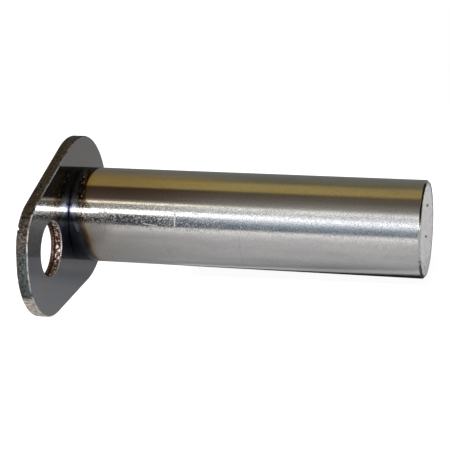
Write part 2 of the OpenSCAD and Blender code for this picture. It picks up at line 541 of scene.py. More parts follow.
def pin_profile():
    """(x, radius, whether on the free end's face) along the pin, from the welded end to the free end."""
    rim = pin_r - chamfer
    hold = HOLD * chamfer
    seam, turn_in, over = SEAM_BREAK * SEAM_MIDDLE, EDGE_ROUND * CHAMFER_MIDDLE, EDGE_ROUND * RIM_MIDDLE
    profile = [(spigot_end, r, 0) for r in np.linspace(0, spigot_r - SPIGOT_BREAK, SPIGOT_RINGS)]
    profile += [(spigot_end + SPIGOT_BREAK, spigot_r, 0), (0, spigot_r, 0), (0, pin_r - SEAM_BREAK, 0)]
    profile += [(seam, pin_r - seam, 0), (SEAM_BREAK, pin_r, 0)]
    rings = int((shank_len - SEAM_BREAK) / RING_STEP)
    profile += [(x, pin_r, 0) for x in np.linspace(2 * SEAM_BREAK, shank_len - 2 * EDGE_ROUND, rings)]
    profile += [(shank_len - EDGE_ROUND, pin_r, 0), (shank_len + turn_in, pin_r - turn_in, 0)]
    profile += [(shank_len + hold, pin_r - hold, 0), (pin_len - hold, rim + hold, 0)]
    profile += [(pin_len - over, rim + over, 0.5), (pin_len, rim - EDGE_ROUND, 1)]
    profile += [(pin_len, r, 1) for r in np.linspace(rim - 2 * EDGE_ROUND, 0, END_RINGS)]
    return profile


def end_dip(y, z):
    """Depth of the dings at a place on the free end, in millimetres."""
    dip = 0.0
    for ding_y, ding_z, wide, high, depth in END_DINGS:
        right, up = y / MM - ding_y, z / MM - ding_z
        away = math.hypot(right / wide, (up - DING_SLOPE * right) / high)
        dip += depth * math.exp(-away ** 4)
    return dip


def build_pin():
    points, on_end, dinged = [], [], []
    profile = pin_profile()
    for x, r, end in profile:
        for k in range(PIN_STEPS):
            angle = 2 * math.pi * k / PIN_STEPS
            y, z = r * math.cos(angle), r * math.sin(angle)
            dip = end_dip(y, z) * (end == 1)
            points.append((x - dip * MM, y, z))
            on_end.append(end)
            dinged.append(min(1.0, dip / DING_FULL))
    weights = {"end_face": on_end, "ding": dinged}
    faces = grid_faces(len(profile), PIN_STEPS)
    piece = make_piece("ground_pin", points, faces, "pin_shaft", weights)
    round_off(piece, PIN_CREASE)
    return piece


pin = build_pin()
print("pin has", len(pin.data.polygons), "faces")

# %% [markdown]
# The plate's outline is three arcs joined by three straight sides that touch them. A curve object could be
# extruded, but walking the outline in even steps gives each point its outward direction as well, which the
# rough edge needs.

# %% Plate outline
OUTLINE_STEP = 0.5 * MM


def side_angle(a, b):
    """Angle of the outward normal on the straight side from one round end to the next, walked left-handed."""
    across = math.atan2(b[1] - a[1], b[0] - a[0])
    return across - math.acos((a[2] - b[2]) / math.hypot(b[0] - a[0], b[1] - a[1]))


def on_circle(circle, angle):
    return circle[0] + circle[2] * math.cos(angle), circle[1] + circle[2] * math.sin(angle)


def plate_outline():
    """(y, z, angle of the outward normal) around the plate."""
    lobes = [pin_lobe, corner_lobe, bolt_lobe]
    points = []
    for i, lobe in enumerate(lobes):
        following = lobes[(i + 1) % 3]
        arrive = side_angle(lobes[i - 1], lobe)
        leave = side_angle(lobe, following)
        sweep = (leave - arrive) % (2 * math.pi)
        for t in np.linspace(0, sweep, max(2, int(sweep * lobe[2] / OUTLINE_STEP)), endpoint=False):
            points.append((*on_circle(lobe, arrive + t), arrive + t))
        first, last = np.array(on_circle(lobe, leave)), np.array(on_circle(following, leave))
        steps = max(2, int(np.linalg.norm(last - first) / OUTLINE_STEP))
        for share in np.linspace(0, 1, steps, endpoint=False):
            points.append((*(first + (last - first) * share), leave))
    return points


outline = plate_outline()
print("plate outline has", len(outline), "points")

# %% [markdown]
# The plate was cut out by a flame, so its two flat faces are smooth and its edges are not: the flame leaves
# upright drag lines and a thin raised burr. Bump alone would leave the outline straight, so each step of
# the outline is a column of real points from one face to the other, pushed in by a little noise. The bolt
# hole is rougher, with a crack round its wall, and one narrow nick is cut into the edge beside the hole.

# %% Flame-cut edges
# Rows through the thickness as (share of the thickness from the inner face, distance in from the true edge)
EDGE_ROWS = [(0.0, 0.5), (0.012, 0.3), (0.035, 0.13), (0.07, 0.03), (0.11, 0.0), (0.18, 0.0), (0.26, 0.0),
             (0.34, 0.0), (0.42, 0.0), (0.5, 0.0), (0.58, 0.0), (0.66, 0.0), (0.74, 0.0), (0.82, 0.0),
             (0.9, 0.0), (0.95, 0.06), (0.985, 0.18), (1.0, 0.4)]
# Drag lines, a slow wave and grit: (waves a millimetre, waves through the plate, seed, lag, weight)
DRAG_NOISE = [(1.1, 0.9, 0.0, 1.2, 0.38), (0.16, 1.6, 7.0, 0.0, 0.25), (2.3, 9.0, 19.0, 0.0, 0.2)]
DRAG_MEAN, DRAG_DEPTH, DRAG_SEED = 0.5, 0.2, 0.0
BORE_ROUGH, BORE_SEED, BORE_COARSE = 0.4, 31.0, 1.7
CRACK_AT, CRACK_HALF, CRACK_DEPTH = 0.64, 0.07, 0.5
CRACK_WANDER, CRACK_WAVE, CRACK_SEED = 0.06, 0.4, 5.0
NICK_AT = (-57.6, 14.0)
NICK_HALF, NICK_DEPTH, NICK_FROM = 0.55, 2.8, 0.7


def drag(y, z, share, seed):
    """How far the flame has bitten in, about 0 to 1: fine upright lines on a slow wave, with grit."""
    bite = DRAG_MEAN
    for waves, through, offset, lag, weight in DRAG_NOISE:
        late = lag * share * share
        at = Vector((y / MM * waves + late, z / MM * waves + late, share * through + seed + offset))
        bite += weight * noise.noise(at)
    return max(0.0, bite)


def off_corner(share):
    """0 at both faces of the plate and 1 in the middle of its thickness."""
    return math.sin(math.pi * share) ** 0.5


def edge_column(y, z, angle):
    column = []
    away = math.hypot(y / MM - NICK_AT[0], z / MM - NICK_AT[1]) / NICK_HALF
    nick = NICK_DEPTH * math.exp(-away ** 4)
    for share, inset in EDGE_ROWS:
        inward = inset + DRAG_DEPTH * off_corner(share) * drag(y, z, share, DRAG_SEED)
        inward += nick * max(0.0, share - NICK_FROM) / (1 - NICK_FROM)
        inward *= MM
        column.append((-share * plate_t, y - inward * math.cos(angle), z - inward * math.sin(angle)))
    return column


def bore_column(angle):
    column = []
    y0, z0 = bolt_y + bolt_r * math.cos(angle), bolt_z + bolt_r * math.sin(angle)
    wander = noise.noise(Vector((y0 / MM * CRACK_WAVE, z0 / MM * CRACK_WAVE, CRACK_SEED)))
    for share, inset in EDGE_ROWS:
        outward = inset + BORE_ROUGH * off_corner(share) * drag(y0, z0, share * BORE_COARSE, BORE_SEED)
        away = (share - CRACK_AT - CRACK_WANDER * wander) / CRACK_HALF
        outward += CRACK_DEPTH * math.exp(-away ** 2)
        r = bolt_r + outward * MM
        column.append((-share * plate_t, bolt_y + r * math.cos(angle), bolt_z + r * math.sin(angle)))
    return column


print("edges have", len(EDGE_ROWS), "rows through the plate")

# %% [markdown]
# The plate is put together from three rings of columns: its outline, the bolt hole and the seat of the pin.
# The flat faces between them could be grids too, but a fill needs fewer faces and stays exactly flat, as
# rolled plate is. Weights tell the finish which points are cut edge, bore or burr. The burr gets a painted
# highlight where the outline turns to the front, and painted shade on the rim that faces away.

# %% Plate
BORE_STEPS = 260
SEAT_STEPS = 160
PLATE_CREASE = math.radians(38)
FLAT = 0.9999
# How strong the burr is on some rows of the edge, counted from either face
BURR_ROWS = {1: 0.9, 2: 1.0, 3: 0.7, 4: 0.2, -3: 0.3, -2: 0.6}
BURR_TURN, BURR_SHARP = 0.25, 6


def plate_weights(count, starts, groups):
    """Weights of the cut edge, the bore, the burr in front with its painted highlight and the rim behind with
    its painted shade, for every point.
    """
    rows = len(EDGE_ROWS)
    cut, bore, burr, far_rim = (np.zeros(count) for _ in range(4))
    cut[starts[0]:starts[1]] = 1
    bore[starts[1]:starts[2]] = 1
    for start, group in zip(starts[:2], groups):
        size = len(group)
        for i, strength in BURR_ROWS.items():
            first = start + (i % rows) * size
            burr[first:first + size] = strength
        for first in (start, start + (rows - 1) * size):
            cut[first:first + size] = 0
            bore[first:first + size] = 0
    # The burr's painted highlight goes where the outline faces the front, its painted shade where it faces
    # away
    facing = [0.5 - 0.5 * math.tanh((math.cos(angle) + BURR_TURN) * BURR_SHARP) for _, _, angle in outline]
    facing = np.tile(facing, rows)
    far_rim[:len(facing)] = burr[:len(facing)] * (1 - facing)
    burr[:len(facing)] *= facing
    return {"burr": burr, "far_rim": far_rim, "bore": bore, "cut": cut}


def fill_face(bm, loops):
    """Fills the flat face between an outer loop of points and the loops of its holes."""
    edges = []
    for loop in loops:
        for a, b in zip(loop, loop[1:] + loop[:1]):
            edges.append(bm.edges.get((a, b)) or bm.edges.new((a, b)))
    bmesh.ops.triangle_fill(bm, use_beauty=True, edges=edges)


def fill_plate(piece, starts, groups):
    bm = bmesh.new()
    bm.from_mesh(piece.data)
    bm.verts.ensure_lookup_table()
    for last_row in (False, True):
        loops = []
        for start, group in zip(starts, groups):
            first = start + (len(group[0]) - 1) * len(group) * last_row
            loops.append([bm.verts[first + k] for k in range(len(group))])
        fill_face(bm, loops)
    bmesh.ops.recalc_face_normals(bm, faces=bm.faces)
    bm.to_mesh(piece.data)
    bm.free()


def build_plate():
    edges = [edge_column(*p) for p in outline]
    bores = [bore_column(2 * math.pi * k / BORE_STEPS) for k in range(BORE_STEPS)]
    seat = [[(x, seat_r * math.cos(t), seat_r * math.sin(t)) for x in (0.0, -plate_t)]
            for t in np.linspace(0, 2 * math.pi, SEAT_STEPS, endpoint=False)]
    groups = (edges, bores, seat)
    points, faces, starts = [], [], []
    for group in groups:
        height = len(group[0])
        starts.append(len(points))
        points += [column[i] for i in range(height) for column in group]
        faces += grid_faces(height, len(group), starts[-1])
    weights = plate_weights(len(points), starts, groups)
    piece = make_piece("cut_flag", points, faces, "flag_plate", weights)
    fill_plate(piece, starts, groups)
    flat = [abs(p.normal.x) > FLAT for p in piece.data.polygons]
    piece.data.set_sharp_from_angle(angle=PLATE_CREASE)
    piece.data.polygons.foreach_set("use_smooth", [not f for f in flat])
    return piece


plate = build_plate()
print("plate has", len(plate.data.polygons), "faces")

# %% [markdown]
# The weld is a ring of melted metal laid in one run round the pin's end. Each drop of the run froze a
# moment after the last, which leaves crescent ripples, and where the run crosses its own start the ring is
# a little higher. A ring with bump on it would have a smooth outline, so every slice of the ring gets its
# own height.

# %% Weld
WELD_RIPPLES, SLICES_PER_RIPPLE = 47, 12
WELD_SLICES = WELD_RIPPLES * SLICES_PER_RIPPLE
WELD_ACROSS = 16
WELD_CREASE = math.radians(50)
# Heights and lengths in millimetres
RIPPLE_H, RIPPLE_LEAD, RIPPLE_SKEW = 0.34, 1.6, 1.6
OVERLAP_H, OVERLAP_HALF = 0.45, math.radians(20)
WELD_MARGIN = 0.05
# Slow unevenness round the ring: its waves and seed, and what it does to the height and to the leg
WOBBLE, WOBBLE_WAVES, WOBBLE_SEED = 0.5, 4, 3.0
WOBBLE_H, WOBBLE_LEG = 0.35, 0.05


def weld_slice(i):
    angle = 2 * math.pi * i / WELD_SLICES
    leg = weld_high.y - spigot_r - (RIPPLE_H + WELD_MARGIN) * MM
    rise = -plate_t - weld_low.x
    along = (i * WELD_RIPPLES / WELD_SLICES) % 1.0
    ripple = math.sin(math.pi * along ** RIPPLE_SKEW)
    away = min(1.0, abs(angle - math.pi) / OVERLAP_HALF)
    hump = math.cos(math.pi / 2 * away) ** 2
    at = Vector((math.cos(angle) * WOBBLE_WAVES, math.sin(angle) * WOBBLE_WAVES, WOBBLE_SEED))
    wobble = WOBBLE * noise.noise(at)
    column = [(-plate_t, spigot_r, angle)]
    for k in range(WELD_ACROSS):
        share = k / (WELD_ACROSS - 1)
        crown = math.sin(math.pi * share)
        lead = RIPPLE_LEAD * MM / (spigot_r + leg) * crown
        bulge = (RIPPLE_H * ripple + OVERLAP_H * hump + WOBBLE_H * wobble) * crown * MM
        radius = spigot_r + leg * (1 - share) * (1 + WOBBLE_LEG * wobble) + bulge
        column.append((-plate_t - rise * share - bulge, radius, angle + lead))
    return [(max(x, spigot_end), r * math.cos(t), r * math.sin(t)) for x, r, t in column]


def build_weld():
    slices = [weld_slice(i) for i in range(WELD_SLICES)]
    height = len(slices[0])
    points = [column[i % height] for i in range(height + 1) for column in slices]
    piece = make_piece("weld_ring", points, grid_faces(height + 1, WELD_SLICES), "weld_bead")
    round_off(piece, WELD_CREASE)
    return piece


weld = build_weld()
print("weld has", len(weld.data.polygons), "faces")

# %% [markdown]
# Every finish starts the same way: a metal shader, and the place of the shaded point in millimetres of the
# part's own frame, so that noise sizes read as real sizes. Real wear is uneven, so most of it comes from
# noise that is cut off between two values, which leaves patches.


# %% Start of a finish
def new_finish(name):
    material = bpy.data.materials.new(name)
    material.use_nodes = True
    tree = material.node_tree
    shader = tree.nodes["Principled BSDF"]
    shader.inputs["Metallic"].default_value = 1.0
    start = Wire(tree)
    place = start.node("ShaderNodeTexCoord", out=OBJECT_PLACE)
    place = start.node("ShaderNodeVectorMath", {"operation": "SCALE"}, {0: place, "Scale": 1 / MM})
    return material, shader, place


def cloud(place, scale, detail=2.0, stretch=(1, 1, 1), rough=0.5):
    """Smooth noise from 0 to 1. A stretch under 1 draws the noise out along that axis."""
    drawn = place.node("ShaderNodeVectorMath", {"operation": "MULTIPLY"}, {0: place, 1: stretch})
    sizes = {"Vector": drawn, "Scale": scale, "Detail": detail, "Roughness": rough}
    return place.node("ShaderNodeTexNoise", {"noise_dimensions": "3D"}, sizes)


def patches(place, scale, detail, low, high, stretch=(1, 1, 1)):
    """Patches of noise: 0 where it is under low and 1 where it is over high."""
    return smooth_step(cloud(place, scale, detail, stretch), low, high)


def attribute(place, name):
    """A weight kept on the points of a mesh."""
    return place.node("ShaderNodeAttribute", {"attribute_name": name}, out=2)


def plug(wire, shader, name):
    wire.tree.links.new(wire.socket, shader.inputs[name])


def bump(height, distance_mm):
    sizes = {"Height": height, "Distance": distance_mm * MM, "Strength": 1.0}
    return height.node("ShaderNodeBump", inputs=sizes)


print("finish helpers ready")

# %% [markdown]
# The heat of the weld has coloured the end by the plate, from black and grey-blue at the joint through a
# dark purple ring to brown and straw. A colour ramp over the distance from the heat holds those colours, so
# they follow the weld and not a painted picture. Past the straw the same ramp carries painted shade: the
# steel is kept darker near the plate and lightens to plain steel 70 mm out. Low on the shank by the plate
# the tint is made blacker too, as painted shade where the shank mirrors the dark plate. Handling has rubbed
# the thin skin through in places, which shows as pale flecks along the front and straw flecks above them.

# %% Heat tint
STEEL = (0.6, 0.6, 0.595)
# Distance from the plate in millimetres, and the colour of the steel there. Past the straw, the darker steel
# is painted shade.
HEAT_TINT_AND_SHADE = [
    (0.0, (0.02, 0.02, 0.035)), (0.8, (0.035, 0.04, 0.07)), (2.6, (0.05, 0.058, 0.10)),
    (4.0, (0.13, 0.14, 0.165)), (5.0, (0.12, 0.12, 0.12)), (5.8, (0.075, 0.05, 0.045)),
    (6.8, (0.09, 0.05, 0.035)), (7.8, (0.22, 0.115, 0.055)), (8.5, (0.43, 0.34, 0.22)),
    (10.5, (0.455, 0.43, 0.39)), (24.0, (0.45, 0.44, 0.42)), (46.0, (0.55, 0.545, 0.535)), (70.0, STEEL),
]
TINT_AND_SHADE_END = HEAT_TINT_AND_SHADE[-1][0]
TINT_WAVES, TINT_WAVER, TINT_LEAN = 0.13, 1.6, 0.07
TINT_STEP, TINT_STEP_Z = 1.2, (-3.0, 5.0)
WELD_HEAT, BEHIND_X = 2.0, (-1.0, -2.0)
# Ranges of the distance from the heat and of the height on the pin, in millimetres
LOW_SHADE_REACH, LOW_SHADE_Z, LOW_SHADE_SHARE, LOW_SHADE = (7.4, 5.6), (5.0, 1.0), 0.45, (0.012, 0.011, 0.014)
RUBBED_REACH, RUBBED_Z = (2.0, 3.5, 8.0, 11.0), (3.0, 5.0, 9.0, 11.5)
RUBBED_FLECKS, RUBBED = (1.1, 2.0, 0.4, 0.58), (0.33, 0.33, 0.34)
STRAW_REACH, STRAW_Z = (4.2, 5.6, 7.0, 8.2), (9.0, 12.0)
STRAW_FLECKS, STRAW = (1.4, 2.0, 0.57, 0.66), (0.46, 0.34, 0.13)
FLECK_SHARE = 0.7
# Range that leaves the shank in and the turned-down end out
SHANK_X = (-0.5, 0.5)


def heat_reach(place):
    """Distance from the weld's heat in millimetres: along the shank, or inward on the turned-down end."""
    x, y, z = axes(place)
    inward = spigot_r / MM - length(y, z) + WELD_HEAT
    behind = smooth_step(x, *BEHIND_X)
    along = x + z * TINT_LEAN + smooth_step(z, *TINT_STEP_Z) * TINT_STEP
    distance = along * (1 - behind) + inward * behind
    return distance + (cloud(place, TINT_WAVES) - 0.5) * TINT_WAVER


def heat_tint_and_shade(reach):
    stops = [(distance / TINT_AND_SHADE_END, colour) for distance, colour in HEAT_TINT_AND_SHADE]
    return reach.node("ShaderNodeValToRGB", {"stops": stops}, {"Fac": reach / TINT_AND_SHADE_END})


def shaded_low(reach, x, z, colour):
    """The tint, blacker low on the shank: painted shade where the shank mirrors the dark plate."""
    # Painted shade, low on the shank near the plate
    low_shade = smooth_step(reach, *LOW_SHADE_REACH) * smooth_step(z, *LOW_SHADE_Z) * smooth_step(x, *SHANK_X)
    return mix_colour(low_shade * LOW_SHADE_SHARE, colour, LOW_SHADE)


def rubbed(place, reach, z, colour):
    """The tint with its skin rubbed through, and where the straw flecks are."""
    pale = band(reach, *RUBBED_REACH) * band(z, *RUBBED_Z) * patches(place, *RUBBED_FLECKS)
    colour = mix_colour(pale * FLECK_SHARE, colour, RUBBED)
    straw = band(reach, *STRAW_REACH) * smooth_step(z, *STRAW_Z) * patches(place, *STRAW_FLECKS)
    return mix_colour(straw * FLECK_SHARE, colour, STRAW), straw


print("heat tint fades out", TINT_AND_SHADE_END, "mm from the plate")

# %% [markdown]
# The free end was sawn and left matt, with dirt in its specks and round its rim. Its dings are painted dark
# as shade in their hollows, and the chamfer is painted dark low in front, as a painted dark reflection.
# Dirt is not metal, so dirt and painted shade are kept as one mask of their own, which later lowers
# Metallic as well as the colour. A darker colour alone would still shine like steel.

# %% Free end
END_DARK, END_PALE, END_CLOUD = (0.36, 0.365, 0.37), (0.56, 0.555, 0.56), (0.3, 0.7)
END_SPECKS, END_SPECK_SHARE = (1.5, 2.0, 0.6, 0.68, (1, 0.35, 1)), 0.45
RIM_WAVES, RIM_RAGGED = 0.6, 3.0
RIM_FAR_Y, RIM_FAR = (2.0, 14.0), 1.6
RIM_DIRT, RIM_DIRT_SHARE = (19.0, 19.9), 0.85
# Painted dark reflection on the chamfer, low in front
LOW_Z, LOW_Y, LOW_PATCHES = (-4.5, -7.0), (4.0, -2.0), (0.5, 2.0, 0.22, 0.4)
CHAMFER_X = (shank_len / MM - 0.1, shank_len / MM + 0.1)
# Tone of the dirt and of the painted shade
DIRT_AND_SHADE = (0.03, 0.027, 0.024)


def end_face(matt):
    """Colour of the free end's face."""
    return mix_colour(smooth_step(matt, *END_CLOUD), END_DARK, END_PALE)


def end_dirt_and_shade(place, end, ding):
    """Dirt in the free end's specks and round its rim, painted shade in its dings, and a painted dark
    reflection on the chamfer low in front.
    """
    x, y, z = axes(place)
    specks = patches(place, *END_SPECKS) * END_SPECK_SHARE
    ragged = cloud(place, RIM_WAVES) * RIM_RAGGED + smooth_step(y, *RIM_FAR_Y) * RIM_FAR
    rim = smooth_step(length(y, z) + ragged, *RIM_DIRT) * RIM_DIRT_SHARE
    dirt_and_shade = larger(larger(specks, rim), ding) * end
    low = smooth_step(z, *LOW_Z) * smooth_step(y, *LOW_Y) * patches(place, *LOW_PATCHES)
    return dirt_and_shade + low * smooth_step(x, *CHAMFER_X) * (1 - end)


print("free end's rim is dirty from", RIM_DIRT[0], "mm out")

# %% [markdown]
# Storage has left a band of small matt specks along the front of the shank, where a mirror finish breaks up
# into light and dark dots, with a bright scratch, a short scrape, a faint ring and a small round mark.
# Modelling each speck would take far too many faces, so noise in millimetres makes them, only on the front,
# and the marks are masks at the places where they are.

# %% Wear on the shank
FRONT_Y = (0.0, -2.0)
SCRATCH_X, SCRATCH_Z, SCRATCH_EDGE = 44.0, (2.6, 3.6, 8.8, 9.8), (0.42, 0.2)
SCRAPE_X, SCRAPE_Z, SCRAPE_SLOPE, SCRAPE_EDGE = (30.5, 31.5, 36.0, 38.0), 3.9, 0.13, (0.34, 0.12)
RING_X, RING_Z, RING_EDGE = 69.7, (4.0, 0.0), (0.4, 0.15)
SPOT_X, SPOT_Z, SPOT_R, SPOT_EDGE = 40.9, -7.6, 0.8, (0.45, 0.1)
MARK, RING_SHARE, SPOT_SHARE = (0.2, 0.2, 0.2), 0.15, 0.3
# Band of specks: its heights and how far it waves, and the noise that makes and thins the specks
PATCH_Z, PATCH_Y, PATCH_WAVES, PATCH_WAVE = (1.5, 4.5, 11.0, 13.5), (2.0, -4.0), 0.2, 3.0
SPECK_WAVES, SPECK_EDGE, SPECK_STRETCH = 2.3, (0.55, 0.63), (0.9, 1, 1)
UNEVEN_WAVES, UNEVEN, UNEVEN_STRETCH = 0.22, 0.35, (0.5, 1, 1)
SPECK_OUTSIDE, SPECK_FAR_LOSS, SPECK_HEATED = 0.06, 0.7, 0.2
PIT_SHARE, PIT = 0.4, (0.12, 0.115, 0.11)
FLECKS, FLECK_OUTSIDE, FLECK_INSIDE, FLECK = (2.6, 2.0, 0.4, 0.62, (0.7, 1, 1)), 0.2, 0.25, (0.2, 0.195, 0.19)
STREAKS, STREAK_SHARE, STREAK = (0.22, 3.0, 0.42, 0.66, (0.12, 1, 1)), 0.2, (0.3, 0.29, 0.31)


def shank_marks(x, y, z):
    """A bright scratch and scrape, a faint ring and a small round mark, as one weight each."""
    front = smooth_step(y, *FRONT_Y)
    scratch = smooth_step(away_from(x, SCRATCH_X), *SCRATCH_EDGE) * band(z, *SCRATCH_Z) * front
    fall = z + (x - SCRAPE_X[0]) * SCRAPE_SLOPE
    scrape = smooth_step(away_from(fall, SCRAPE_Z), *SCRAPE_EDGE) * band(x, *SCRAPE_X) * front
    ring = smooth_step(away_from(x, RING_X), *RING_EDGE) * smooth_step(z, *RING_Z)
    spot = smooth_step(away_from(length(x - SPOT_X, z - SPOT_Z), SPOT_R), *SPOT_EDGE) * front
    return larger(scratch, scrape), ring, spot


def shank_specks(place, far, clean):
    """The band that the specks lie in, and the specks themselves."""
    _, y, z = axes(place)
    wavy = z + cloud(place, PATCH_WAVES) * PATCH_WAVE
    patch = band(wavy, *PATCH_Z) * smooth_step(y, *PATCH_Y)
    uneven = (cloud(place, UNEVEN_WAVES, 2.0, UNEVEN_STRETCH) - 0.5) * UNEVEN
    small = smooth_step(cloud(place, SPECK_WAVES, 1.0, SPECK_STRETCH) + uneven, *SPECK_EDGE)
    inside = SPECK_OUTSIDE + patch * (1 - SPECK_OUTSIDE)
    heated = SPECK_HEATED + clean * (1 - SPECK_HEATED)
    return patch, small * inside * (1 - far * SPECK_FAR_LOSS) * heated


def worn(place, colour, patch, pits, clean):
    """The colour of the shank with its pits, flecks and streaks."""
    colour = mix_colour(pits * PIT_SHARE, colour, PIT)
    fleck = patches(place, *FLECKS) * (FLECK_OUTSIDE + patch * FLECK_INSIDE) * clean
    colour = mix_colour(fleck, colour, FLECK)
    return mix_colour(patches(place, *STREAKS) * STREAK_SHARE * clean, colour, STREAK)


print("scratch", SCRATCH_X, "mm from the plate")

# %% [markdown]
# Now the pieces come together. The shank is nearly a mirror, so small changes of Roughness show: it is
# duller in the specks, on the brown ring and towards the free end. A matt shader for the end face could be
# a second material, but one material with the end's weight as a mask keeps the rim between them soft.

# %% Ground steel
FAR_X = (25.0, 110.0)
CLEAN_REACH = (5.0, 9.0)
MOTTLE_WAVES, MOTTLE_STRETCH, MOTTLE_EDGE = 0.35, (0.5, 1, 1), (0.35, 0.75)
MOTTLE_SHARE, MOTTLE = 0.12, (0.36, 0.36, 0.37)
MATT_WAVES, MATT_ROUGH = 1.3, 0.7
DULL_REACH, DULL_Z = (3.0, 6.0, 11.0, 24.0), (5.0, 2.0)
OXIDE_REACH, OXIDE_Z = (1.0, 4.0, 4.0, 6.5), (5.0, 10.0)
# Roughness of the clean shank, and what each kind of wear adds to it
POLISH, POLISH_FAR, POLISH_MOTTLE, POLISH_SCRATCH = 0.05, 0.08, 0.03, 0.4
POLISH_DULL, POLISH_OXIDE, POLISH_PITS = 0.26, 0.2, 0.34
END_ROUGH, END_ROUGH_MATT, DIRT_AND_SHADE_ROUGH = 0.48, 0.16, 0.3
STRAW_DULL = 0.3
# Depth of the grain in millimetres, and the height of each kind of wear as a share of it
GRAIN_DEPTH, GRAIN_WAVES, GRAIN_STRETCH = 0.07, 1.8, (0.8, 1, 1)
GRAIN, GRAIN_FAR_LOSS, PIT_HEIGHT, SPOT_HEIGHT, MATT_HEIGHT = 0.12, 0.05, 0.1, 0.5, 0.6


def shank_polish(reach, z, far, mottle, scratch, pits):
    dull = band(reach, *DULL_REACH) * smooth_step(z, *DULL_Z)
    oxide = band(reach, *OXIDE_REACH) * smooth_step(z, *OXIDE_Z)
    polish = POLISH + far * POLISH_FAR + mottle * POLISH_MOTTLE + scratch * POLISH_SCRATCH
    return polish + dull * POLISH_DULL + oxide * POLISH_OXIDE + pits * POLISH_PITS


def ground_steel():
    material, shader, place = new_finish("ground_steel")
    x, y, z = axes(place)
    end, ding = attribute(place, "end_face"), attribute(place, "ding")
    far = smooth_step(x, *FAR_X)
    reach = heat_reach(place)
    clean = smooth_step(reach, *CLEAN_REACH)
    scratch, ring, spot = shank_marks(x, y, z)
    mottle = cloud(place, MOTTLE_WAVES, 4.0, MOTTLE_STRETCH)
    colour = mix_colour(smooth_step(mottle, *MOTTLE_EDGE) * MOTTLE_SHARE, heat_tint_and_shade(reach), MOTTLE)
    colour, straw = rubbed(place, reach, z, shaded_low(reach, x, z, colour))
    patch, pits = shank_specks(place, far, clean)
    colour = worn(place, colour, patch, pits, clean)
    colour = mix_colour(ring * RING_SHARE + spot * SPOT_SHARE, colour, MARK)
    matt = cloud(place, MATT_WAVES, 4.0, rough=MATT_ROUGH)
    dirt_and_shade = end_dirt_and_shade(place, end, ding)
    colour = mix_colour(end, colour, end_face(matt))
    plug(mix_colour(dirt_and_shade, colour, DIRT_AND_SHADE), shader, "Base Color")
    plug((1 - dirt_and_shade) * (1 - straw * STRAW_DULL), shader, "Metallic")
    polish = shank_polish(reach, z, far, mottle, scratch, pits)
    end_rough = END_ROUGH + matt * END_ROUGH_MATT
    plug(polish * (1 - end) + end * end_rough + dirt_and_shade * DIRT_AND_SHADE_ROUGH, shader, "Roughness")
    grain = cloud(place, GRAIN_WAVES, 2.0, GRAIN_STRETCH) * (GRAIN - far * GRAIN_FAR_LOSS)
    height = (grain - pits * PIT_HEIGHT) * smooth_step(x, *SHANK_X) - spot * SPOT_HEIGHT
    plug(bump(height * (1 - end) + matt * end * MATT_HEIGHT, GRAIN_DEPTH), shader, "Normal")
    return material


pin.data.materials.append(ground_steel())
print("pin finish made")

# %% [markdown]
# The plate keeps the smooth, dark skin that it was rolled with, so its face mirrors the pin. Its cut edges
# are scaled and brown, with a paler patch of painted highlight low on the bolt's end. The wall of the bolt
# hole is rust-brown with bright torn specks. Three materials could be set face by face, but their borders
# would be hard lines, so each has a colour function of its own and the weights kept on the mesh mix them.

# %% Colours of the plate
SKIN_PATCHES, SKIN_WARM, SKIN_COOL = (0.07, 3.0, 0.3, 0.7), (0.186, 0.184, 0.182), (0.182, 0.189, 0.212)
SMEARS, SMEAR_SHARE, SMEAR = (0.5, 3.0, 0.55, 0.8, (1, 0.5, 1)), 0.1, (0.1, 0.1, 0.1)
SCALE_EDGE, SCALE_DARK, SCALE_PALE = (0.38, 0.62), (0.02, 0.018, 0.016), (0.105, 0.09, 0.075)
LOWER_WAVES, LOWER_WAVE, LOWER_Z = 0.35, 10.0, (16.0, 6.0)
INNER_X = (-4.2, -1.0)
TEAL_PATCHES, TEAL_FROM, TEAL_SHARE, TEAL = (0.9, 3.0, 0.34, 0.56), 0.35, 0.85, (0.10, 0.14, 0.155)
RUST_PATCHES, RUST_SHARE, RUST = (0.55, 3.0, 0.5, 0.66), 0.7, (0.09, 0.05, 0.033)
RUST_INNER_LOSS, RUST_LOWER_LOSS = 0.5, 0.6
GRAINS, GRAINS_SHARE, GRAINS_TONE = (1.6, 2.0, 0.56, 0.66), 0.6, (0.24, 0.22, 0.19)
# Painted highlight low on the bolt's end, as a paler patch
LOW_HIGHLIGHT_WAVES, LOW_HIGHLIGHT_WAVE, LOW_HIGHLIGHT_Z = 0.6, 4.0, (-10.5, -12.5)
LOW_HIGHLIGHT_PATCHES, LOW_HIGHLIGHT_DARK, LOW_HIGHLIGHT_PALE = (0.8, 4.0, 0.35, 0.65), (0.3, 0.265, 0.23), (0.68, 0.63, 0.57)
WALL_EDGE, WALL_DARK, WALL_PALE = (0.4, 0.62), (0.035, 0.017, 0.014), (0.21, 0.115, 0.09)
TORN_PATCHES, TORN_X, TORN = (1.0, 3.0, 0.54, 0.64), (-3.2, -2.4), (0.85, 0.8, 0.74)
CRACK_EDGE, CRACK_SHARE, CRACK = (0.45, 0.15), 0.85, (0.01, 0.007, 0.006)


def plate_face(place):
    skin = mix_colour(patches(place, *SKIN_PATCHES), SKIN_WARM, SKIN_COOL)
    return mix_colour(patches(place, *SMEARS) * SMEAR_SHARE, skin, SMEAR)


